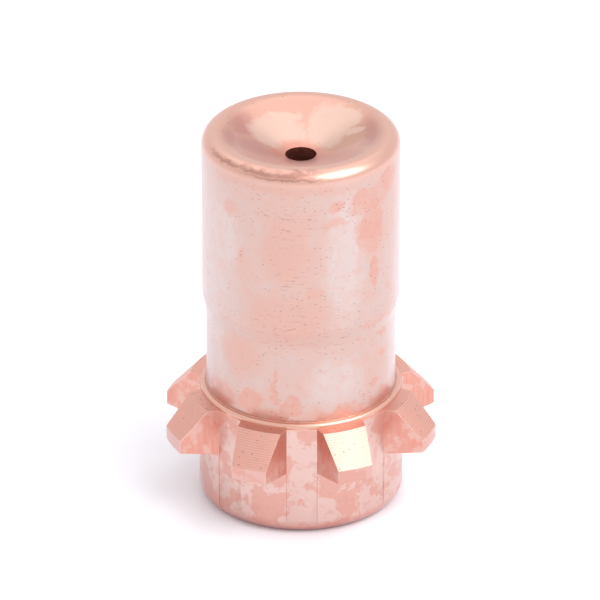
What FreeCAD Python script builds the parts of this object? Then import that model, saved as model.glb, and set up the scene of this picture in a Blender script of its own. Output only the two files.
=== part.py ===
import FreeCAD, Part
import math
import os

# A plasma torch nozzle, turned and milled from one bar of copper.
# It stands on its open rear rim at z = 0, with the dished tip and its orifice upwards.
# Lengths are millimetres, angles are degrees. Heights are measured from the rear rim.

# ---- overall ----
NOZZLE_LENGTH = 25.76          # rear rim to the crest of the tip
CROWN_DIAMETER = 18.0          # over the teeth
SKIRT_DIAMETER = 13.28         # plain ring behind the crown
NECK_DIAMETER = 12.19          # in front of the crown
BODY_DIAMETER = 12.71          # front part of the nozzle

# ---- skirt ----
SKIRT_ROUND = 1.0              # round on the outer edge of the rear rim

# ---- crown of teeth ----
SHOULDER_HEIGHT = 7.66         # flat ring that the teeth start from
LAND_HEIGHT = 0.91             # cylindrical rim of each tooth
LAND_BASE = 4.84               # rear edge of that rim
FACE_ANGLE = 48.0              # fall of each tooth's front face, below horizontal
UNDERCUT_ANGLE = 9.6           # rise of each tooth's rear face, outwards

# ---- slots between the teeth ----
SLOT_COUNT = 8
SLOT_FLOOR_WIDTH = 1.96
SLOT_WALL_ANGLE = 32.0         # each wall's lean away from the slot's middle plane
SLOT_FLOOR_CLEARANCE = 0.03    # from the bead at the neck's foot to the slot floors

# ---- bead at the neck's foot ----
BEAD_REACH = 0.40              # how far the bead stands out from the neck
BEAD_HEIGHT = 0.29             # above the shoulder
BEAD_ROUND = 0.24              # round on the bead's outer edge

# ---- taper from the neck to the body ----
TAPER_BASE = 13.31
TAPER_LENGTH = 1.16

# ---- tip ----
RIM_ROUND = 0.83               # round on the outer edge of the tip
CREST_ROUND = 2.0              # softer round from the crest into the dish
DISH_ANGLE = 21.7              # slope of the dish, below horizontal
ORIFICE_DIAMETER = 2.0
ORIFICE_LENGTH = 2.6           # straight part of the orifice

# ---- inside ----
REAR_BORE_DIAMETER = 10.0      # seat for the gas distributor ring
REAR_BORE_DEPTH = 3.2
REAR_BORE_CHAMFER = 0.2
CHAMBER_DIAMETER = 7.5         # room for the electrode
CHAMBER_CONE_ANGLE = 45.0      # fall of the chamber's end, measured from the axis

# How far a cutter runs past the metal it cuts.
CUTTER_OVERRUN = 1.0


def at(radius, height):
    """A point of the turned outline, in the plane y = 0."""
    return FreeCAD.Vector(radius, 0.0, height)


class Outline:
    """The turned outline, drawn as a chain of straight and round stretches."""

    def __init__(self, radius, height):
        self.start = at(radius, height)
        self.end = self.start
        self.edges = []

    def line(self, radius, height):
        target = at(radius, height)
        self.edges.append(Part.makeLine(self.end, target))
        self.end = target

    def arc(self, centre_radius, centre_height, size, first, last):
        """An arc about a centre, between two directions counted up from outwards."""
        def on_arc(angle):
            turn = math.radians(angle)
            return at(centre_radius + size * math.cos(turn), centre_height + size * math.sin(turn))
        middle, target = on_arc((first + last) / 2), on_arc(last)
        self.edges.append(Part.Arc(self.end, middle, target).toShape())
        self.end = target

    def solid(self):
        """The chain, closed and turned about the nozzle's axis."""
        self.edges.append(Part.makeLine(self.end, self.start))
        face = Part.Face(Part.Wire(self.edges))
        return face.revolve(FreeCAD.Vector(0, 0, 0), FreeCAD.Vector(0, 0, 1), 360)


def add_outside(outline):
    """Draws the outside, from the rear rim up to the crest of the tip."""
    crown, skirt = CROWN_DIAMETER / 2, SKIRT_DIAMETER / 2
    neck, body = NECK_DIAMETER / 2, BODY_DIAMETER / 2
    bead = neck + BEAD_REACH
    bead_top = SHOULDER_HEIGHT + BEAD_HEIGHT
    land_top = LAND_BASE + LAND_HEIGHT
    face_reach = (SHOULDER_HEIGHT - land_top) / math.tan(math.radians(FACE_ANGLE))
    undercut_drop = (crown - skirt) * math.tan(math.radians(UNDERCUT_ANGLE))

    # The skirt, with its rounded rear edge.
    outline.line(skirt - SKIRT_ROUND, 0.0)
    outline.arc(skirt - SKIRT_ROUND, SKIRT_ROUND, SKIRT_ROUND, -90, 0)

    # The crown: its rear face, its land and its front face.
    outline.line(skirt, LAND_BASE - undercut_drop)
    outline.line(crown, LAND_BASE)
    outline.line(crown, land_top)
    outline.line(crown - face_reach, SHOULDER_HEIGHT)

    # The bead, with its rounded outer edge.
    outline.line(bead, SHOULDER_HEIGHT)
    outline.line(bead, bead_top - BEAD_ROUND)
    outline.arc(bead - BEAD_ROUND, bead_top - BEAD_ROUND, BEAD_ROUND, 0, 90)
    outline.line(neck, bead_top)

    # The neck, the taper, the body and the round at the tip.
    outline.line(neck, TAPER_BASE)
    outline.line(body, TAPER_BASE + TAPER_LENGTH)
    outline.line(body, NOZZLE_LENGTH - RIM_ROUND)
    outline.arc(body - RIM_ROUND, NOZZLE_LENGTH - RIM_ROUND, RIM_ROUND, 0, 90)


def dish_lip_height():
    """The height at which the dish meets the orifice."""
    crest = BODY_DIAMETER / 2 - RIM_ROUND
    slope = math.radians(DISH_ANGLE)
    round_drop = CREST_ROUND * (1 - math.cos(slope))
    slope_run = crest - CREST_ROUND * math.sin(slope) - ORIFICE_DIAMETER / 2
    return NOZZLE_LENGTH - round_drop - slope_run * math.tan(slope)


def add_dish(outline):
    """Draws the dish, from the crest of the tip in to the orifice."""
    crest = BODY_DIAMETER / 2 - RIM_ROUND
    outline.arc(crest, NOZZLE_LENGTH - CREST_ROUND, CREST_ROUND, 90, 90 + DISH_ANGLE)
    outline.line(ORIFICE_DIAMETER / 2, dish_lip_height())


def add_inside(outline):
    """Draws the passage, from the orifice back through the chamber to the rear bore's mouth."""
    orifice, chamber, rear_bore = ORIFICE_DIAMETER / 2, CHAMBER_DIAMETER / 2, REAR_BORE_DIAMETER / 2
    throat = dish_lip_height() - ORIFICE_LENGTH
    cone_length = (chamber - orifice) / math.tan(math.radians(CHAMBER_CONE_ANGLE))
    outline.line(orifice, throat)
    outline.line(chamber, throat - cone_length)
    outline.line(chamber, REAR_BORE_DEPTH)
    outline.line(rear_bore, REAR_BORE_DEPTH)
    outline.line(rear_bore, REAR_BORE_CHAMFER)


def slot_cutter():
    """One slot's space: a flat floor and two leaning walls, run along the nozzle's axis."""
    floor = NECK_DIAMETER / 2 + BEAD_REACH + SLOT_FLOOR_CLEARANCE
    outer = CROWN_DIAMETER / 2 + CUTTER_OVERRUN
    lean = math.tan(math.radians(SLOT_WALL_ANGLE))
    half_floor = SLOT_FLOOR_WIDTH / 2
    half_mouth = half_floor + (outer - floor) * lean
    corners = [(-half_floor, -floor), (half_floor, -floor), (half_mouth, -outer), (-half_mouth, -outer)]
    points = [FreeCAD.Vector(x, y, -CUTTER_OVERRUN) for x, y in corners]
    section = Part.Face(Part.makePolygon(points + points[:1]))
    return section.extrude(FreeCAD.Vector(0, 0, SHOULDER_HEIGHT + 2 * CUTTER_OVERRUN))


def slot_cutters():
    """The slots, evenly round the axis, the first one facing -Y."""
    cutters = []
    for number in range(SLOT_COUNT):
        cutter = slot_cutter()
        cutter.rotate(FreeCAD.Vector(0, 0, 0), FreeCAD.Vector(0, 0, 1), number * 360 / SLOT_COUNT)
        cutters.append(cutter)
    return cutters


def nozzle():
    """The whole nozzle: turned to its outline, then milled."""
    outline = Outline(REAR_BORE_DIAMETER / 2 + REAR_BORE_CHAMFER, 0.0)
    add_outside(outline)
    add_dish(outline)
    add_inside(outline)
    blank = outline.solid()
    milled = blank.cut(Part.makeCompound(slot_cutters()))
    return milled.Solids[0]


os.makedirs("parts", exist_ok=True)
shape = nozzle()
shape.exportStep("parts/nozzle.step")
print("nozzle: valid", shape.isValid(), "volume", round(shape.Volume, 2), "mm3, faces", len(shape.Faces))
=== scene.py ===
# %% [markdown]
# # A plasma torch nozzle
# The real thing is one piece of copper, turned on a lathe and then milled. It stands on its open
# rear rim, with the dished tip upwards. This lesson follows the same two steps: a half outline
# is spun into a round blank, and slot-shaped cutters are taken out of it. Then come the finish
# of the copper, a pale floor, soft lights and the camera.

# %% Load the frame
import bpy
import math
import random
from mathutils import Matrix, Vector


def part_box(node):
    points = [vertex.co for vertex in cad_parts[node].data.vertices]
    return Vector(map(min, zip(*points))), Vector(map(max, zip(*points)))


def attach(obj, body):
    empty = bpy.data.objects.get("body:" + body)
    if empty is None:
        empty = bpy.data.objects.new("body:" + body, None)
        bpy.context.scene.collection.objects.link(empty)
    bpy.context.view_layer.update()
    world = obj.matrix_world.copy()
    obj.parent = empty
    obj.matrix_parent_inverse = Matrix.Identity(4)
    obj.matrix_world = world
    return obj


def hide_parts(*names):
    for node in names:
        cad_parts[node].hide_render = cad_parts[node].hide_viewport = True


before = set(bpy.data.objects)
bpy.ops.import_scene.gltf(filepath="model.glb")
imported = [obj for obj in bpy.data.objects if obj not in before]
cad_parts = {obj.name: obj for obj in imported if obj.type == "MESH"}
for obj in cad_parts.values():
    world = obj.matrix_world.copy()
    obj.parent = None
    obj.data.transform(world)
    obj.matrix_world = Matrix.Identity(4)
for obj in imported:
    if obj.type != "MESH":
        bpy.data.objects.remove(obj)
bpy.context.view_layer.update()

MM = 0.001
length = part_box("nozzle")[1].z / MM
print("the nozzle is", round(length, 2), "mm long")

# %% [markdown]
# ## Sizes
# All sizes are millimetres, measured from the rear rim at height 0 and from the nozzle's axis.
# The outline needs a radius and a height for each corner, so diameters are halved here once.

# %% Sizes of the turned form
skirt, skirt_round = 13.28 / 2, 1.0
crown, land_base, land_top = 18.0 / 2, 4.84, 5.75
shoulder = 7.66
neck, bead, bead_height, bead_round = 12.19 / 2, 12.99 / 2, 0.29, 0.24
groove_width = 0.08
body, taper_base, taper_top, taper_round = 12.71 / 2, 13.31, 14.47, 1.6
rim_round, crest_round, dish_angle = 0.83, 2.0, math.radians(21.7)
orifice, orifice_length = 1.0, 2.6
chamber, rear_bore, rear_bore_depth, mouth_chamfer = 7.5 / 2, 10.0 / 2, 3.2, 0.2
face_angle, undercut_angle = math.radians(48.0), math.radians(9.6)

crest = body - rim_round
dish_start = crest - crest_round * math.sin(dish_angle)
dish_start_height = length - crest_round * (1 - math.cos(dish_angle))
lip_height = dish_start_height - (dish_start - orifice) * math.tan(dish_angle)
print("the dish is", round(length - lip_height, 2), "mm deep")


# %% [markdown]
# ## Drawing the outline
# A lathe part is best drawn as one half of its section. A plane merged to its centre leaves a
# single vertex. Extruding that vertex draws straight stretches, and spinning it about a point
# draws round ones, which is the same as drawing with a compass.

# %% Helpers that draw with one vertex
def select_none():
    bpy.ops.object.select_all(action="DESELECT")


def begin_outline(name, radius, height):
    select_none()
    bpy.ops.mesh.primitive_plane_add(size=MM, location=(0, 0, 0))
    outline = bpy.context.object
    outline.name = name
    bpy.ops.object.mode_set(mode="EDIT")
    bpy.ops.mesh.select_all(action="SELECT")
    bpy.ops.mesh.merge(type="CENTER")
    bpy.ops.transform.translate(value=(radius * MM, 0, height * MM))
    return [radius, height]


def line_to(pen, radius, height):
    step = ((radius - pen[0]) * MM, 0, (height - pen[1]) * MM)
    bpy.ops.mesh.extrude_vertices_move(TRANSFORM_OT_translate={"value": step})
    pen[:] = radius, height


def arc_about(pen, centre_radius, centre_height, turn, steps):
    bpy.ops.mesh.spin(steps=steps, angle=turn, axis=(0, 1, 0),
                      center=(centre_radius * MM, 0, centre_height * MM))
    across, up = pen[0] - centre_radius, pen[1] - centre_height
    pen[0] = centre_radius + across * math.cos(turn) - up * math.sin(turn)
    pen[1] = centre_height + across * math.sin(turn) + up * math.cos(turn)


# %% [markdown]
# ## The outside
# From the rear rim the outline climbs the skirt, steps out round the crown, comes back over the
# sloping face to the bead at the neck's foot, and follows the neck, the taper and the body up to
# the rounded rim. A tool never leaves a perfectly sharp corner at the taper, so the two corners
# there are blended with long arcs.

# %% Draw the outside
quarter = math.radians(90)
pen = begin_outline("nozzle_body", rear_bore + mouth_chamfer, 0)
line_to(pen, skirt - skirt_round, 0)
arc_about(pen, skirt - skirt_round, skirt_round, quarter, 14)
line_to(pen, skirt, land_base - (crown - skirt) * math.tan(undercut_angle))
line_to(pen, crown, land_base)
line_to(pen, crown, land_top)
line_to(pen, crown - (shoulder - land_top) / math.tan(face_angle), shoulder)
line_to(pen, bead, shoulder)
line_to(pen, bead, shoulder + bead_height - bead_round)
arc_about(pen, bead - bead_round, shoulder + bead_height - bead_round, quarter, 8)
line_to(pen, neck + groove_width, shoulder + bead_height)
arc_about(pen, neck + groove_width / 2, shoulder + bead_height, -2 * quarter, 6)

taper_angle = math.atan2(body - neck, taper_top - taper_base)
blend = taper_round * math.tan(taper_angle / 2)
line_to(pen, neck, taper_base - blend)
arc_about(pen, neck + taper_round, taper_base - blend, -taper_angle, 5)
line_to(pen, body - blend * math.sin(taper_angle), taper_top - blend * math.cos(taper_angle))
arc_about(pen, body - taper_round, taper_top + blend, taper_angle, 5)
line_to(pen, body, length - rim_round)
arc_about(pen, crest, length - rim_round, quarter, 16)
print("outside drawn up to the crest, at radius", round(pen[0], 3))

# %% [markdown]
# ## The dish and the passage
# Over the crest the outline falls into the dish, then down the orifice, out along the chamber's
# end, and back to the wider bore at the rear.

# %% Draw the dish and the inside, and spin the blank
SPIN_STEPS = 320
arc_about(pen, crest, length - crest_round, dish_angle, 10)
line_to(pen, orifice, lip_height)
throat = lip_height - orifice_length
line_to(pen, orifice, throat)
line_to(pen, chamber, throat - (chamber - orifice))
line_to(pen, chamber, rear_bore_depth)
line_to(pen, rear_bore, rear_bore_depth)
line_to(pen, rear_bore, mouth_chamfer)
line_to(pen, rear_bore + mouth_chamfer, 0)

bpy.ops.mesh.select_all(action="SELECT")
bpy.ops.mesh.remove_doubles(threshold=0.002 * MM)
bpy.ops.mesh.select_all(action="SELECT")
bpy.ops.mesh.spin(steps=SPIN_STEPS, angle=2 * math.pi, center=(0, 0, 0), axis=(0, 0, 1))
bpy.ops.mesh.select_all(action="SELECT")
bpy.ops.mesh.remove_doubles(threshold=0.002 * MM)
bpy.ops.mesh.normals_make_consistent(inside=False)
bpy.ops.object.mode_set(mode="OBJECT")
nozzle = bpy.context.object
print("blank spun:", len(nozzle.data.polygons), "faces")

# %% [markdown]
# ## The slots
# The real slots are milled along the axis with one shaped cutter: a flat floor and two walls
# that lean away from each other. One cutter is shaped from a cube, by spreading its outer face.
# It is copied round the axis, and all the copies are subtracted at once with a boolean.

# %% Shape one slot cutter and copy it round
SLOTS = 8
floor_width, wall_angle, floor_radius = 1.96, math.radians(32.0), bead + 0.03
overrun = 1.0
cut_depth = crown + overrun - floor_radius
cut_height = shoulder + 2 * overrun

select_none()
bpy.ops.mesh.primitive_cube_add(size=1)
cutter = bpy.context.object
cutter.name = "slot_cutter"
cutter.scale = (floor_width * MM, cut_depth * MM, cut_height * MM)
cutter.location = (0, -(floor_radius + cut_depth / 2) * MM, (cut_height / 2 - overrun) * MM)
bpy.ops.object.transform_apply(location=True, rotation=True, scale=True)
bpy.ops.object.mode_set(mode="EDIT")
bpy.ops.mesh.select_mode(type="VERT")
bpy.ops.mesh.select_all(action="DESELECT")
bpy.ops.object.mode_set(mode="OBJECT")
for vertex in cutter.data.vertices:
    vertex.select = vertex.co.y < -(floor_radius + cut_depth / 2) * MM
bpy.ops.object.mode_set(mode="EDIT")
spread = 1 + 2 * cut_depth * math.tan(wall_angle) / floor_width
bpy.ops.transform.resize(value=(spread, 1, 1))
bpy.ops.object.mode_set(mode="OBJECT")

cutters = [cutter]
for number in range(1, SLOTS):
    select_none()
    cutter.select_set(True)
    bpy.context.view_layer.objects.active = cutter
    bpy.ops.object.duplicate(linked=False)
    copy = bpy.context.object
    copy.rotation_euler.z = number * 2 * math.pi / SLOTS
    cutters.append(copy)
select_none()
for copy in cutters:
    copy.select_set(True)
bpy.context.view_layer.objects.active = cutter
bpy.ops.object.join()
print("cutter has", len(cutter.data.polygons), "faces")

# %% Mill the slots
select_none()
nozzle.select_set(True)
bpy.context.view_layer.objects.active = nozzle
milling = nozzle.modifiers.new("slots", "BOOLEAN")
milling.operation = "DIFFERENCE"
milling.solver = "EXACT"
milling.object = cutter
bpy.ops.object.modifier_apply(modifier=milling.name)
bpy.data.objects.remove(cutter)
print("milled:", len(nozzle.data.polygons), "faces")

# %% [markdown]
# ## Clean up after milling
# Where a wall crosses the fine steps of the blank, the boolean leaves slivers. They would stop
# the next step from rounding the edges, so corners closer than a few hundredths are merged.

# The boolean hands its corners back in a different order each time, and merging goes by that order.
# So they are sorted first, by distance from a point off to one side. Hardly any two corners share
# a distance, so the mesh comes out almost, though not exactly, the same each time.

# %% Merge the slivers on the crown
SLIVER = 0.035
bpy.context.scene.cursor.location = (0.0137, 0.0291, 0.0463)
bpy.ops.object.mode_set(mode="EDIT")
bpy.ops.mesh.select_all(action="SELECT")
bpy.ops.mesh.sort_elements(type="CURSOR_DISTANCE", elements={"VERT", "EDGE", "FACE"})
bpy.ops.object.mode_set(mode="OBJECT")
for vertex in nozzle.data.vertices:
    reach = math.hypot(vertex.co.x, vertex.co.y) / MM
    vertex.select = reach > skirt + 0.05 and vertex.co.z / MM < shoulder + 0.01
bpy.ops.object.mode_set(mode="EDIT")
bpy.ops.mesh.select_mode(type="VERT")
bpy.ops.mesh.remove_doubles(threshold=SLIVER * MM)
bpy.ops.object.mode_set(mode="OBJECT")
print("merged:", len(nozzle.data.polygons), "faces")

# %% [markdown]
# ## Edges
# No metal edge is perfectly sharp, and a thin rounded edge is what catches the light. A bevel
# limited by angle rounds only the real corners and leaves the spun rounds alone.

# %% Break the edges
edge = nozzle.modifiers.new("edges", "BEVEL")
edge.width = 0.06 * MM
edge.segments = 2
edge.limit_method = "ANGLE"
edge.angle_limit = math.radians(28)
edge.use_clamp_overlap = True
edge.miter_outer = "MITER_ARC"
edge.harden_normals = True
bpy.ops.object.shade_smooth_by_angle(angle=math.radians(40))
bpy.ops.object.modifier_apply(modifier=edge.name)
print("edges broken:", len(nozzle.data.polygons), "faces")

# %% [markdown]
# ## Copper, in six finishes
# One metal can look like several. The turned body has been handled, so it is pale and stained.
# The dish is cleaner. The tooth tops keep the arcs of the lathe tool, the slot walls are freshly
# milled and the most saturated, their broken edges are burred and painted near white as a painted
# highlight, and the passage is dark and oxidised.
# All of them read their place on the nozzle in millimetres, so a stain can be put where it belongs.

# %% Helpers for materials
FAR_AWAY = 9.0


def linear(hex_colour):
    """An sRGB colour such as "B87333", as the linear RGBA that shaders use."""
    parts = [int(hex_colour[i:i + 2], 16) / 255 for i in (0, 2, 4)]
    return [p / 12.92 if p <= 0.04045 else ((p + 0.055) / 1.055) ** 2.4 for p in parts] + [1.0]


def add_node(tree, kind, inputs=None, **settings):
    """Adds a node, sets its properties, and gives each input a value or another node's output."""
    node = tree.nodes.new(kind)
    for name, value in settings.items():
        setattr(node, name, value)
    for name, value in (inputs or {}).items():
        if isinstance(value, bpy.types.NodeSocket):
            tree.links.new(value, node.inputs[name])
        else:
            node.inputs[name].default_value = value
    return node


def new_copper(name, roughness, sheen):
    """An all-metal material. Its colour and bump are linked afterwards."""
    material = bpy.data.materials.new(name)
    material.use_nodes = True
    shader = material.node_tree.nodes["Principled BSDF"]
    shader.inputs["Metallic"].default_value = 1.0
    shader.inputs["Roughness"].default_value = roughness
    shader.inputs["Sheen Weight"].default_value = sheen
    shader.inputs["Sheen Roughness"].default_value = 0.35
    shader.inputs["Sheen Tint"].default_value = linear("F2ECFA")
    return material, material.node_tree, shader


def place_on_surface(tree):
    """The place in mm, the unrolled place (arc at the body's radius, then height), radius and height."""
    where = add_node(tree, "ShaderNodeTexCoord").outputs["Object"]
    in_mm = add_node(tree, "ShaderNodeVectorMath", {0: where, 3: 1 / MM}, operation="SCALE").outputs[0]
    parts = add_node(tree, "ShaderNodeSeparateXYZ", {0: in_mm}).outputs
    front = add_node(tree, "ShaderNodeMath", {0: parts["Y"], 1: -1.0}, operation="MULTIPLY").outputs[0]
    angle = add_node(tree, "ShaderNodeMath", {0: parts["X"], 1: front}, operation="ARCTAN2").outputs[0]
    arc = add_node(tree, "ShaderNodeMath", {0: angle, 1: body}, operation="MULTIPLY").outputs[0]
    unrolled = add_node(tree, "ShaderNodeCombineXYZ", {0: arc, 1: parts["Z"]}).outputs[0]
    flat = add_node(tree, "ShaderNodeCombineXYZ", {0: parts["X"], 1: parts["Y"]}).outputs[0]
    radius = add_node(tree, "ShaderNodeVectorMath", {0: flat}, operation="LENGTH").outputs["Value"]
    return in_mm, unrolled, radius, parts["Z"]


def ragged(tree, place, in_mm, scale, reach):
    """The place, pushed about by noise, so that whatever is drawn with it has a ragged outline."""
    noise = add_node(tree, "ShaderNodeTexNoise", {"Vector": in_mm, "Scale": scale, "Detail": 5.0,
                                                  "Roughness": 0.62})
    centred = add_node(tree, "ShaderNodeVectorMath", {0: noise.outputs["Color"], 1: (0.5, 0.5, 0.5)},
                       operation="SUBTRACT").outputs[0]
    return add_node(tree, "ShaderNodeVectorMath", {0: centred, 1: (reach, reach, 0), 2: place},
                    operation="MULTIPLY_ADD").outputs[0]


def inside_ovals(tree, place, ovals, softness):
    """1 inside any of the ovals, each given as its centre (two values) and its two half sizes."""
    nearest = FAR_AWAY
    for across, along, half_across, half_along in ovals:
        scaled = add_node(tree, "ShaderNodeVectorMath",
                          {0: place, 1: (1 / half_across, 1 / half_along, 0),
                           2: (-across / half_across, -along / half_along, 0)}, operation="MULTIPLY_ADD")
        reach = add_node(tree, "ShaderNodeVectorMath", {0: scaled.outputs[0]}, operation="LENGTH")
        nearest = add_node(tree, "ShaderNodeMath", {0: nearest, 1: reach.outputs["Value"]},
                           operation="MINIMUM").outputs[0]
    return add_node(tree, "ShaderNodeMapRange",
                    {"Value": nearest, "From Min": 1 + softness, "From Max": 1 - softness}).outputs[0]


def inside_spots(tree, place, spots, softness):
    """1 inside any of the spots on the body, given as azimuth, height, half angle and half height."""
    ovals = [(math.radians(azimuth) * body, height, math.radians(half_angle) * body, half_height)
             for azimuth, height, half_angle, half_height in spots]
    return inside_ovals(tree, place, ovals, softness)


def blend(tree, amount, below, above, strength=1.0):
    """Lays one colour over another by an amount, which strength scales down."""
    amount = add_node(tree, "ShaderNodeMath", {0: amount, 1: strength}, operation="MULTIPLY").outputs[0]
    return add_node(tree, "ShaderNodeMix", {0: amount, 6: below, 7: above},
                    data_type="RGBA").outputs[2]


def speckle(tree, vector, scale, size, share):
    """Small round dots: one in each cell of a Voronoi pattern, kept in only some of the cells."""
    cells = add_node(tree, "ShaderNodeTexVoronoi", {"Vector": vector, "Scale": scale, "Randomness": 1.0})
    dot = add_node(tree, "ShaderNodeMapRange", {"Value": cells.outputs["Distance"], "From Min": size,
                                                "From Max": size * 0.5}).outputs[0]
    kept = add_node(tree, "ShaderNodeSeparateXYZ", {0: cells.outputs["Color"]}).outputs["X"]
    kept = add_node(tree, "ShaderNodeMath", {0: kept, 1: share}, operation="LESS_THAN").outputs[0]
    return add_node(tree, "ShaderNodeMath", {0: dot, 1: kept}, operation="MULTIPLY").outputs[0]


def cloud(tree, vector, scale, low, high, detail=3.0):
    """Soft noise, stretched so that low and below is 0, and high and above is 1."""
    noise = add_node(tree, "ShaderNodeTexNoise", {"Vector": vector, "Scale": scale, "Detail": detail,
                                                  "Roughness": 0.6}).outputs[0]
    return add_node(tree, "ShaderNodeMapRange", {"Value": noise, "From Min": low,
                                                 "From Max": high}).outputs[0]


def stretched(tree, vector, factors):
    """The place scaled by a factor along each axis, so that a pattern is squeezed or drawn out."""
    return add_node(tree, "ShaderNodeVectorMath", {0: vector, 1: factors}, operation="MULTIPLY").outputs[0]


def finish_copper(tree, shader, colour, relief, strength, depth):
    """Links the colour, and a relief as a bump whose depth is in mm."""
    bump = add_node(tree, "ShaderNodeBump", {"Height": relief, "Strength": strength, "Distance": depth * MM})
    tree.links.new(bump.outputs[0], shader.inputs["Normal"])
    tree.links.new(colour, shader.inputs["Base Color"])


print("helpers ready")

# %% [markdown]
# ## The handled body
# Stains are placed by azimuth in degrees (0 in front, positive to the right) and height in mm.
# The back and sides have their own, drawn from a seeded random list. The lathe's feed marks are
# really finer than can be seen at this distance, so they are drawn coarser, at about a quarter
# of a millimetre.

# %% Handled copper: pale metal, salmon stains, pits, scratches and turning marks
random.seed(11)
stains = [(44, 23.2, 15, 1.0), (60, 23.9, 9, 0.9), (44, 20.9, 10.5, 1.6), (47, 17.9, 5, 1.1),
          (20, 23.3, 4.2, 0.55), (58, 13.1, 5, 0.32), (58, 11.5, 4, 0.25), (50, 9.7, 5, 0.3),
          (-58, 8.7, 16, 0.75), (-33, 9.1, 8, 0.9), (-16, 10.7, 1.9, 0.95), (-17, 9.4, 2.6, 0.4),
          (-7, 9.0, 7, 0.75), (-21, 8.25, 13, 0.3), (31, 8.6, 10, 0.28), (61, 8.5, 9, 0.6),
          (62, 14.2, 26, 0.16)]
faint_stains = [(19, 22.1, 9, 0.35), (-8, 20.5, 15, 2.6), (-45, 22.5, 5, 0.5), (-38, 19.6, 3, 0.3),
                (-10, 15.5, 24, 1.8), (8, 17.4, 6, 0.35), (-40, 12.0, 14, 1.5),
                (-12, 24.6, 40, 0.45), (0, 8.4, 90, 0.25)]
pale_places = [(26, 19.5, 11, 4.4), (-72, 16.5, 26, 8.0), (82, 14.0, 16, 9.0), (22, 10.5, 17, 1.7),
               (-52, 20.5, 12, 2.6)]
scratched_places = [(-12, 22.3, 22, 1.6), (0, 14.6, 40, 1.8), (-5, 18, 14, 1.6)]
for count in range(26):
    side = random.choice((-1, 1))
    stains.append((side * random.uniform(88, 172), random.uniform(8.4, 23.5),
                   random.uniform(3, 13), random.uniform(0.3, 1.5)))
    pale_places.append((side * random.uniform(105, 165), random.uniform(9, 23),
                        random.uniform(6, 16), random.uniform(1.0, 3.0)))

handled, tree, shader = new_copper("handled_copper", 0.34, 0.35)
in_mm, unrolled, radius, height = place_on_surface(tree)
ragged_place = ragged(tree, unrolled, in_mm, 0.9, 1.7)
colour = blend(tree, cloud(tree, in_mm, 0.35, 0.35, 0.65), linear("CEACA0"), linear("CBB2AA"))
pale = inside_spots(tree, ragged_place, pale_places, 0.35)
colour = blend(tree, pale, colour, linear("D0C0BB"), strength=0.75)
faint = inside_spots(tree, ragged_place, faint_stains, 0.3)
colour = blend(tree, faint, colour, linear("D0A597"), strength=0.7)
stain = inside_spots(tree, ragged_place, stains, 0.14)
worn = cloud(tree, in_mm, 1.3, 0.85, 0.43, 5.0)
stain = add_node(tree, "ShaderNodeMath", {0: stain, 1: worn}, operation="MULTIPLY").outputs[0]
colour = blend(tree, stain, colour, linear("D29A8B"), strength=0.8)
mottle = cloud(tree, in_mm, 1.5, 0.47, 0.62, 7.0)
colour = blend(tree, mottle, colour, linear("D3A596"), strength=0.32)
dashes = cloud(tree, stretched(tree, in_mm, (1.0, 1.0, 9.0)), 1.5, 0.61, 0.68, 3.0)
scratched = inside_spots(tree, ragged_place, scratched_places, 0.4)
dashes = add_node(tree, "ShaderNodeMath", {0: dashes, 1: scratched}, operation="MULTIPLY").outputs[0]
colour = blend(tree, dashes, colour, linear("A9736B"), strength=0.65)
clusters = cloud(tree, in_mm, 0.5, 0.42, 0.58)
pits = speckle(tree, stretched(tree, in_mm, (1.0, 1.0, 2.0)), 2.8, 0.24, 0.6)
pits = add_node(tree, "ShaderNodeMath", {0: pits, 1: clusters}, operation="MULTIPLY").outputs[0]
colour = blend(tree, pits, colour, linear("8E5A54"), strength=0.6)

# The skirt is salmon with pale blotches, and it is painted lighter than the body: painted light that makes up
# for the floor's shadow mirrored in it.
skirt_part = add_node(tree, "ShaderNodeMath", {0: height, 1: shoulder - 0.1},
                      operation="LESS_THAN").outputs[0]
skirt_tarnish_and_painted_light = blend(tree, cloud(tree, in_mm, 0.55, 0.46, 0.5, 4.0), linear("D6A497"), linear("DABAB0"))
tarnish = cloud(tree, in_mm, 1.6, 0.54, 0.6, 4.0)
skirt_tarnish_and_painted_light = blend(tree, tarnish, skirt_tarnish_and_painted_light, linear("D09C90"), strength=0.5)
# Painted shade: the skirt turns darker over its rounded lowest millimetre, where it meets the floor.
painted_foot_shade = add_node(tree, "ShaderNodeMapRange", {"Value": height, "From Min": 1.0, "From Max": 0.35}).outputs[0]
skirt_tarnish_and_painted_light = blend(tree, painted_foot_shade, skirt_tarnish_and_painted_light, linear("CE8B7E"), strength=0.8)
lands = add_node(tree, "ShaderNodeMath", {0: radius, 1: crown - 0.35},
                 operation="GREATER_THAN").outputs[0]
skirt_tarnish_and_painted_light = blend(tree, lands, skirt_tarnish_and_painted_light, linear("D09A8E"), strength=0.55)
colour = blend(tree, skirt_part, colour, skirt_tarnish_and_painted_light)
# Painted reflection: the bead, its groove and the flat step below get a light orange, standing in for the
# tooth tops mirrored there and painting out the shade in the groove.
foot = add_node(tree, "ShaderNodeMapRange", {"Value": height, "From Min": shoulder + bead_height + 0.15,
                                             "From Max": shoulder + bead_height - 0.02}).outputs[0]
painted_bead_reflection = add_node(tree, "ShaderNodeMath", {0: foot, 1: skirt_part}, operation="SUBTRACT").outputs[0]
colour = blend(tree, painted_bead_reflection, colour, linear("DFAC9A"), strength=0.9)

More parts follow.
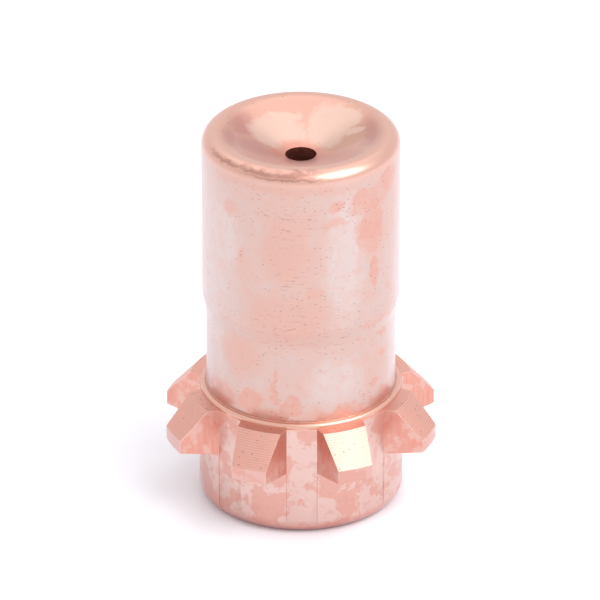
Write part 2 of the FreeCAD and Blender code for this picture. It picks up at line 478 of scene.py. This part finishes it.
# The rounded rim is cleaner copper, with dark streaks low on its front left.
rim_part = add_node(tree, "ShaderNodeMapRange", {"Value": height, "From Min": length - 1.1,
                                                 "From Max": length - 0.55}).outputs[0]
colour = blend(tree, rim_part, colour, linear("DDAE9E"), strength=0.9)
streak_spots = [(-52, 25.5, 15, 0.09), (-28, 25.54, 14, 0.11), (-3, 25.56, 17, 0.15),
                (-10, 25.3, 24, 0.08)]
streaks = inside_spots(tree, ragged(tree, unrolled, in_mm, 1.6, 0.7), streak_spots, 0.5)
colour = blend(tree, streaks, colour, linear("9E665C"), strength=0.55)

feed_marks = cloud(tree, stretched(tree, in_mm, (0.08, 0.08, 1.0)), 4.0, 0.3, 0.7, 2.0)
relief = add_node(tree, "ShaderNodeMath", {0: pits, 1: -1.5, 2: feed_marks},
                  operation="MULTIPLY_ADD").outputs[0]
finish_copper(tree, shader, colour, relief, 0.25, 0.01)

# %% Dish copper: cream and tan patches over a salmon ground, redder round the hole, with painted light in the cream and dusky patches
dish_copper, tree, shader = new_copper("dish_copper", 0.3, 0.15)
in_mm, _, radius, _ = place_on_surface(tree)
warped = ragged(tree, in_mm, in_mm, 1.0, 1.3)

# The cream patches are partly pale copper and partly a painted reflection of the key light, largest on the
# back right.
cream_and_key_reflection = [(-1.4, 1.8, 1.9, 1.5), (1.8, 2.3, 1.4, 2.0), (2.8, 2.6, 1.2, 1.0), (0.9, 0.9, 0.7, 1.1),
         (3.5, 1.2, 0.7, 0.35), (-1.0, 3.4, 1.2, 0.4)]
tan = [(2.9, 0.9, 1.5, 1.5), (2.6, 3.4, 1.2, 0.5)]
# The dusky patches are partly darker copper and partly painted shade, on the left where the dish faces dimmer
# surroundings.
dusky_and_painted_shade = [(-3.8, 1.6, 0.8, 1.3), (4.6, 0.4, 0.7, 2.2), (-4.6, -0.6, 0.6, 1.6), (-3.0, -0.6, 1.6, 1.2)]
red = [(-1.3, -0.2, 0.7, 0.5), (0.0, 0.3, 1.35, 1.15)]
colour = blend(tree, cloud(tree, in_mm, 0.6, 0.4, 0.6), linear("D6A596"), linear("D3A595"))
colour = blend(tree, inside_ovals(tree, warped, dusky_and_painted_shade, 0.5), colour, linear("B98078"), strength=0.7)
colour = blend(tree, inside_ovals(tree, warped, tan, 0.12), colour, linear("C79A84"), strength=0.8)
colour = blend(tree, inside_ovals(tree, warped, cream_and_key_reflection, 0.12), colour, linear("D8B8AA"), strength=0.8)
colour = blend(tree, inside_ovals(tree, warped, red, 0.3), colour, linear("CE8877"), strength=0.8)
towards_rim = add_node(tree, "ShaderNodeMapRange", {"Value": radius, "From Min": crest - 0.8,
                                                    "From Max": crest}).outputs[0]
colour = blend(tree, towards_rim, colour, linear("DDAE9E"))
dots = speckle(tree, in_mm, 2.6, 0.16, 0.14)
colour = blend(tree, dots, colour, linear("7E4A46"), strength=0.6)
rings = add_node(tree, "ShaderNodeTexWave",
                 {"Vector": in_mm, "Scale": 1.3, "Distortion": 0.6, "Detail": 1.0},
                 wave_type="RINGS", rings_direction="Z").outputs[1]
finish_copper(tree, shader, colour, rings, 0.12, 0.01)

# %% Faced copper: the tooth tops, with the arcs that the turning tool left
faced, tree, shader = new_copper("faced_copper", 0.45, 0.0)
in_mm = place_on_surface(tree)[0]
arcs = add_node(tree, "ShaderNodeTexWave",
                {"Vector": in_mm, "Scale": 2.9, "Distortion": 1.6, "Detail": 2.0, "Detail Scale": 1.5},
                wave_type="RINGS", rings_direction="Z").outputs[1]
colour = blend(tree, arcs, linear("D49D8F"), linear("DFAEA0"))
colour = blend(tree, cloud(tree, in_mm, 1.4, 0.5, 0.56, 4.0), colour, linear("E0A597"), strength=0.5)
colour = blend(tree, speckle(tree, in_mm, 3.4, 0.26, 0.4), colour, linear("9A6054"), strength=0.6)
finish_copper(tree, shader, colour, arcs, 0.2, 0.008)

# %% Milled copper: the slot walls, with faint streaks along the cutter's travel
milled, tree, shader = new_copper("milled_copper", 0.33, 0.0)
in_mm = place_on_surface(tree)[0]
travel = cloud(tree, stretched(tree, in_mm, (1.0, 1.0, 0.12)), 5.0, 0.35, 0.7, 3.0)
colour = blend(tree, travel, linear("D79585"), linear("DAA595"))
colour = blend(tree, cloud(tree, in_mm, 0.7, 0.5, 0.54, 5.0), colour, linear("DBB8AC"), strength=0.6)
finish_copper(tree, shader, colour, travel, 0.2, 0.01)

# %% Burnished copper: the broken edges of the teeth, real burrs painted near white as a painted highlight
burnished_and_highlit_edge, tree, shader = new_copper("burnished_edge_painted_highlight", 0.3, 0.0)
in_mm = place_on_surface(tree)[0]
colour = blend(tree, cloud(tree, in_mm, 2.5, 0.4, 0.55), linear("EDBBAA"), linear("FFF4EA"))
tree.links.new(colour, shader.inputs["Base Color"])

# %% Oxidised copper: the passage, dark and brown
oxidised, tree, shader = new_copper("oxidised_copper", 0.42, 0.0)
in_mm = place_on_surface(tree)[0]
colour = blend(tree, cloud(tree, in_mm, 0.9, 0.42, 0.6, 4.0), linear("A86A5C"), linear("C48C7C"))
tree.links.new(colour, shader.inputs["Base Color"])

# %% [markdown]
# ## Giving each face its finish
# A face's own place and direction say what cut it: walls of the slots look sideways, the tooth
# tops lean outwards, the dish lies inside the crest, and everything else inside is the passage.

# %% Assign the finishes
BROKEN_EDGE_AREA = 0.12
finishes = [handled, dish_copper, faced, milled, burnished_and_highlit_edge, oxidised]
nozzle.data.materials.clear()
for material in finishes:
    nozzle.data.materials.append(material)


def finish_for(centre, normal, area):
    """The finish of a face, from its centre, the way it looks, and its area."""
    out = Vector((centre.x, centre.y, 0))
    reach, up = out.length / MM, centre.z / MM
    outward = normal.dot(out.normalized())
    sideways = math.sqrt(max(0, 1 - outward ** 2 - normal.z ** 2))
    if up < lip_height - 0.02 and reach < rear_bore + mouth_chamfer:
        return oxidised
    if up > lip_height - 0.1 and reach < crest:
        return dish_copper
    if up > shoulder + 0.05 or up < land_base - 0.6 or reach < bead + 0.1:
        return handled
    # The broken edges get the burnished finish, painted near white as a painted highlight.
    if area < BROKEN_EDGE_AREA * MM ** 2 and reach > skirt + 0.1 and sideways > 0.12:
        return burnished_and_highlit_edge
    if sideways > 0.6:
        return milled
    if up > land_top + 0.03:
        return faced
    return handled


for face in nozzle.data.polygons:
    face.material_index = finishes.index(finish_for(face.center, face.normal, face.area))
counts = [sum(1 for face in nozzle.data.polygons if face.material_index == number)
          for number in range(len(finishes))]
print("faces of each finish:", dict(zip([material.name for material in finishes], counts)))
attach(nozzle, "root")
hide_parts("nozzle")

# %% [markdown]
# ## Floor and lights
# A pale floor under a bright, even sky gives the white background. A large soft light high on
# the right makes the bright spots on the rim and on one tooth, and the shadow on the left.

# %% Floor
select_none()
bpy.ops.mesh.primitive_circle_add(vertices=96, radius=1.2, fill_type="NGON", location=(0, 0, 0))
floor = bpy.context.object
floor.name = "floor"
paper = bpy.data.materials.new("white_paper")
paper.use_nodes = True
paper.node_tree.nodes["Principled BSDF"].inputs["Base Color"].default_value = linear("F3F3F8")
paper.node_tree.nodes["Principled BSDF"].inputs["Roughness"].default_value = 0.9
paper.node_tree.nodes["Principled BSDF"].inputs["Specular IOR Level"].default_value = 0.1
floor.data.materials.append(paper)

# %% Lights
world = bpy.data.worlds.new("studio")
bpy.context.scene.world = world
world.use_nodes = True
world.node_tree.nodes["Background"].inputs["Color"].default_value = linear("FEFEFF")
world.node_tree.nodes["Background"].inputs["Strength"].default_value = 1.04


def softbox(name, direction, distance, size, power):
    """A square soft light that faces the nozzle from a direction, with distances in metres."""
    data = bpy.data.lights.new(name, "AREA")
    data.shape = "SQUARE"
    data.size = size
    data.energy = power
    lamp = bpy.data.objects.new(name, data)
    bpy.context.scene.collection.objects.link(lamp)
    way = Vector(direction).normalized()
    lamp.location = Vector((0, 0, 0.014)) + way * distance
    lamp.rotation_mode = "QUATERNION"
    lamp.rotation_quaternion = way.to_track_quat("Z", "Y")
    return lamp


key = softbox("key", (0.53, -0.37, 0.76), 0.5, 0.4, 1.6)
top = softbox("top", (0.0, 0.35, 1.0), 0.8, 0.8, 1.0)
print("lights:", key.name, top.name)

# %% [markdown]
# ## Camera
# A long lens from half a metre away keeps the sides of the nozzle nearly parallel.

# %% Camera
view_azimuth, view_elevation = math.radians(-0.55), math.radians(27.52)
camera_distance, lens, sensor = 508.4, 474.0, 36.0
aim = Vector((-0.053, 0, 13.61)) * MM
camera_data = bpy.data.cameras.new("camera")
camera_data.sensor_width = sensor
camera_data.lens = lens
camera_data.clip_start, camera_data.clip_end = 0.05, 5
camera = bpy.data.objects.new("camera", camera_data)
bpy.context.scene.collection.objects.link(camera)
back = Vector((math.sin(view_azimuth) * math.cos(view_elevation),
               -math.cos(view_azimuth) * math.cos(view_elevation), math.sin(view_elevation)))
camera.location = aim + back * camera_distance * MM
camera.rotation_mode = "QUATERNION"
camera.rotation_quaternion = back.to_track_quat("Z", "Y")
bpy.context.scene.camera = camera
bpy.context.scene.view_settings.view_transform = "Standard"
print("camera stands", round(camera.location.length, 3), "m from the nozzle")
